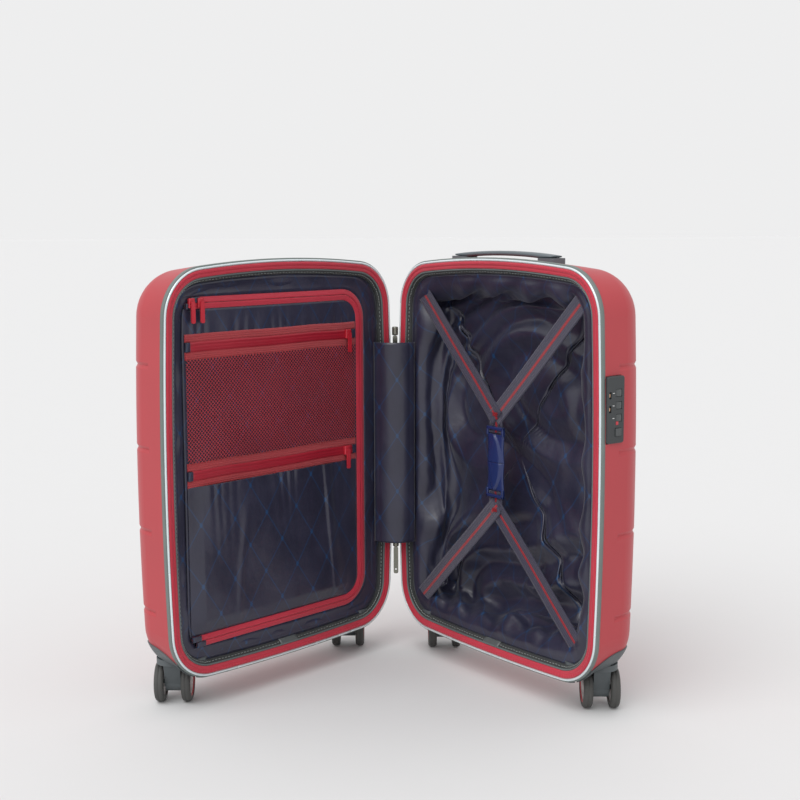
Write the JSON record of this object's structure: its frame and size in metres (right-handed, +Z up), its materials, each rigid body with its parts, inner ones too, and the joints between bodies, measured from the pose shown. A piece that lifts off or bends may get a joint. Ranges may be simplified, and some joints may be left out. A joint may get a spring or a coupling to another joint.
{
  "type": "hard shell suitcase",
  "caption": "Hard shell cabin suitcase on twin-wheel casters, opened like a book: zipped mesh divider in the lid, crossed straps with a buckle in the base, trolley handle and combination lock.",
  "frame": {"origin": "on the floor, under the middle of the opened case's footprint", "axes": "+Z up, +X along the longest extent of the opened case, +Y from the open mouths towards the hinge"},
  "size_m": [0.599, 0.352, 0.5539],
  "materials": {
    "shell_red": "satin moulded polypropylene",
    "rim_grey": "satin",
    "zip_crimson": "woven tape",
    "binding_black": "woven tape",
    "lining_navy": "satin weave",
    "housing_grey": "fine grain",
    "steel": "zinc plated",
    "aluminium": "anodised",
    "lock_grey": "fine grain",
    "dial_grey": "satin",
    "strap_webbing": "webbing",
    "buckle_blue": "satin",
    "mesh_crimson": "open mesh",
    "slider_crimson": "painted",
    "slider_gunmetal": "gunmetal",
    "tyre_dark": "satin rubber",
    "handle_grey": "soft touch"
  },
  "bodies": {
    "base": {"base_shell": "shell_red", "base_rim_trim": "rim_grey", "base_zip_tape": "zip_crimson", "base_binding": "binding_black", "base_lining": "lining_navy", "base_caster_housings": "housing_grey", "base_caster_screws": "steel", "trolley_tray": "housing_grey", "trolley_outer_tubes": "aluminium", "trolley_foot": "housing_grey", "carry_handle_anchors": "housing_grey", "lock_case": "lock_grey", "strap_upper": "strap_webbing", "buckle_socket": "buckle_blue", "hinge_gusset": "lining_navy", "hinge_tape": "binding_black"},
    "lid": {"lid_shell": "shell_red", "lid_rim_trim": "rim_grey", "lid_zip_tape": "zip_crimson", "lid_binding": "binding_black", "lid_lining": "lining_navy", "lid_caster_housings": "housing_grey", "lid_caster_screws": "steel", "divider_border": "lining_navy"},
    "divider": {"divider_panel": "lining_navy", "divider_zip": "zip_crimson", "pocket_zips": "zip_crimson", "pocket_mesh": "mesh_crimson", "divider_slider_end": "slider_crimson"},
    "divider_pull_end": {"divider_pull_end": "slider_crimson"},
    "divider_slider_run": {"divider_slider_run": "slider_crimson"},
    "pocket_slider_upper": {"pocket_slider_upper": "slider_crimson"},
    "pocket_slider_lower": {"pocket_slider_lower": "slider_crimson"},
    "trolley_middle": {"trolley_middle_tubes": "aluminium"},
    "trolley_grip": {"trolley_inner_tubes": "aluminium", "trolley_grip": "handle_grey"},
    "trolley_button": {"trolley_button": "lock_grey"},
    "carry_handle": {"carry_handle": "handle_grey"},
    "lock_release": {"lock_release": "dial_grey"},
    "buckle_tongue": {"buckle_tongue": "buckle_blue", "strap_lower": "strap_webbing"},
    "zip_slider_top": {"zip_slider_top": "slider_gunmetal"},
    "zip_pull_top": {"zip_pull_top": "rim_grey"},
    "zip_slider_bottom": {"zip_slider_bottom": "slider_gunmetal"},
    "zip_pull_bottom": {"zip_pull_bottom": "rim_grey"},
    "lock_dial_1": {"lock_dial_1": "dial_grey"},
    "lock_dial_2": {"lock_dial_2": "dial_grey"},
    "lock_dial_3": {"lock_dial_3": "dial_grey"},
    "base_rear_fork": {"base_rear_fork": "housing_grey"},
    "base_rear_wheel_left": {"base_rear_wheel_left": "tyre_dark"},
    "base_rear_wheel_right": {"base_rear_wheel_right": "tyre_dark"},
    "base_front_fork": {"base_front_fork": "housing_grey"},
    "base_front_wheel_left": {"base_front_wheel_left": "tyre_dark"},
    "base_front_wheel_right": {"base_front_wheel_right": "tyre_dark"},
    "lid_rear_fork": {"lid_rear_fork": "housing_grey"},
    "lid_rear_wheel_left": {"lid_rear_wheel_left": "tyre_dark"},
    "lid_rear_wheel_right": {"lid_rear_wheel_right": "tyre_dark"},
    "lid_front_fork": {"lid_front_fork": "housing_grey"},
    "lid_front_wheel_left": {"lid_front_wheel_left": "tyre_dark"},
    "lid_front_wheel_right": {"lid_front_wheel_right": "tyre_dark"}
  },
  "joints": [
    {"name": "lid_hinge", "type": "hinge", "parent": "base", "child": "lid", "pos_m": [0.01291, 0.1387, 0.3], "axis": [0, 0, -1], "range_deg": [-79, 100], "deforming": ["hinge_gusset", "hinge_tape"]},
    {"name": "divider_flap", "type": "hinge", "parent": "lid", "child": "divider", "pos_m": [-0.23839, -0.11855, 0.29], "axis": [0, 0, -1], "range_deg": [0, 60]},
    {"name": "divider_pull_swing", "type": "hinge", "parent": "divider", "child": "divider_pull_end", "pos_m": [-0.22391, -0.11219, 0.4972], "axis": [-0.6794, -0.7337, 0], "range_deg": [0, 80]},
    {"name": "divider_zip_slide", "type": "slide", "parent": "divider", "child": "divider_slider_run", "axis": [0.6794, 0.7337, 0], "range_m": [0, 0.2]},
    {"name": "upper_pocket_zip", "type": "slide", "parent": "divider", "child": "pocket_slider_upper", "axis": [-0.6794, -0.7337, 0], "range_m": [0, 0.24]},
    {"name": "lower_pocket_zip", "type": "slide", "parent": "divider", "child": "pocket_slider_lower", "axis": [-0.6794, -0.7337, 0], "range_m": [0, 0.24]},
    {"name": "trolley_lower_stage", "type": "slide", "parent": "base", "child": "trolley_middle", "axis": [0, 0, 1], "range_m": [0, 0.22]},
    {"name": "trolley_upper_stage", "type": "slide", "parent": "trolley_middle", "child": "trolley_grip", "axis": [0, 0, 1], "range_m": [0, 0.22]},
    {"name": "trolley_button_press", "type": "slide", "parent": "trolley_grip", "child": "trolley_button", "axis": [0, 0, -1], "range_m": [0, 0.003], "stiffness_N_per_m": 400},
    {"name": "carry_handle_lift", "type": "slide", "parent": "base", "child": "carry_handle", "axis": [0, 0, 1], "range_m": [0, 0.01]},
    {"name": "lock_dial_1_turn", "type": "hinge", "parent": "base", "child": "lock_dial_1", "pos_m": [0.26673, -0.15774, 0.3655], "axis": [0, 0, 1], "continuous": true},
    {"name": "lock_dial_2_turn", "type": "hinge", "parent": "base", "child": "lock_dial_2", "pos_m": [0.26673, -0.15774, 0.38], "axis": [0, 0, 1], "continuous": true},
    {"name": "lock_dial_3_turn", "type": "hinge", "parent": "base", "child": "lock_dial_3", "pos_m": [0.26673, -0.15774, 0.3945], "axis": [0, 0, 1], "continuous": true},
    {"name": "lock_release_press", "type": "slide", "parent": "base", "child": "lock_release", "axis": [-0.5948, 0.8039, 0], "range_m": [0, 0.001], "stiffness_N_per_m": 400},
    {"name": "buckle_release", "type": "slide", "parent": "base", "child": "buckle_tongue", "axis": [0, 0, -1], "range_m": [0, 0.024], "deforming": ["strap_lower"]},
    {"name": "zip_top_slide", "type": "slide", "parent": "base", "child": "zip_slider_top", "axis": [0, 0, 1], "range_m": [0, 0.035]},
    {"name": "zip_top_pull_swing", "type": "hinge", "parent": "zip_slider_top", "child": "zip_pull_top", "pos_m": [0.01291, 0.1387, 0.4356], "axis": [-1, 0, 0], "range_deg": [0, 25]},
    {"name": "zip_bottom_slide", "type": "slide", "parent": "base", "child": "zip_slider_bottom", "axis": [0, 0, -1], "range_m": [0, 0.03]},
    {"name": "zip_bottom_pull_swing", "type": "hinge", "parent": "zip_slider_bottom", "child": "zip_pull_bottom", "pos_m": [0.01291, 0.1387, 0.1416], "axis": [-1, 0, 0], "range_deg": [0, 70]},
    {"name": "base_rear_swivel", "type": "hinge", "parent": "base", "child": "base_rear_fork", "pos_m": [0.08017, 0.13187, 0.056], "axis": [0, 0, 1], "continuous": true},
    {"name": "base_rear_left_roll", "type": "hinge", "parent": "base_rear_fork", "child": "base_rear_wheel_left", "pos_m": [0.08017, 0.13987, 0.025], "axis": [1, 0, 0], "continuous": true},
    {"name": "base_rear_right_roll", "type": "hinge", "parent": "base_rear_fork", "child": "base_rear_wheel_right", "pos_m": [0.08017, 0.13987, 0.025], "axis": [1, 0, 0], "continuous": true},
    {"name": "base_front_swivel", "type": "hinge", "parent": "base", "child": "base_front_fork", "pos_m": [0.26219, -0.11411, 0.056], "axis": [0, 0, 1], "continuous": true},
    {"name": "base_front_left_roll", "type": "hinge", "parent": "base_front_fork", "child": "base_front_wheel_left", "pos_m": [0.26219, -0.10611, 0.025], "axis": [1, 0, 0], "continuous": true},
    {"name": "base_front_right_roll", "type": "hinge", "parent": "base_front_fork", "child": "base_front_wheel_right", "pos_m": [0.26219, -0.10611, 0.025], "axis": [1, 0, 0], "continuous": true},
    {"name": "lid_rear_swivel", "type": "hinge", "parent": "lid", "child": "lid_rear_fork", "pos_m": [-0.05469, 0.13929, 0.056], "axis": [0, 0, 1], "continuous": true},
    {"name": "lid_rear_left_roll", "type": "hinge", "parent": "lid_rear_fork", "child": "lid_rear_wheel_left", "pos_m": [-0.05469, 0.14729, 0.025], "axis": [1, 0, 0], "continuous": true},
    {"name": "lid_rear_right_roll", "type": "hinge", "parent": "lid_rear_fork", "child": "lid_rear_wheel_right", "pos_m": [-0.05469, 0.14729, 0.025], "axis": [1, 0, 0], "continuous": true},
    {"name": "lid_front_swivel", "type": "hinge", "parent": "lid", "child": "lid_front_fork", "pos_m": [-0.2626, -0.08523, 0.056], "axis": [0, 0, 1], "continuous": true},
    {"name": "lid_front_left_roll", "type": "hinge", "parent": "lid_front_fork", "child": "lid_front_wheel_left", "pos_m": [-0.2626, -0.07723, 0.025], "axis": [1, 0, 0], "continuous": true},
    {"name": "lid_front_right_roll", "type": "hinge", "parent": "lid_front_fork", "child": "lid_front_wheel_right", "pos_m": [-0.2626, -0.07723, 0.025], "axis": [1, 0, 0], "continuous": true}
  ]
}
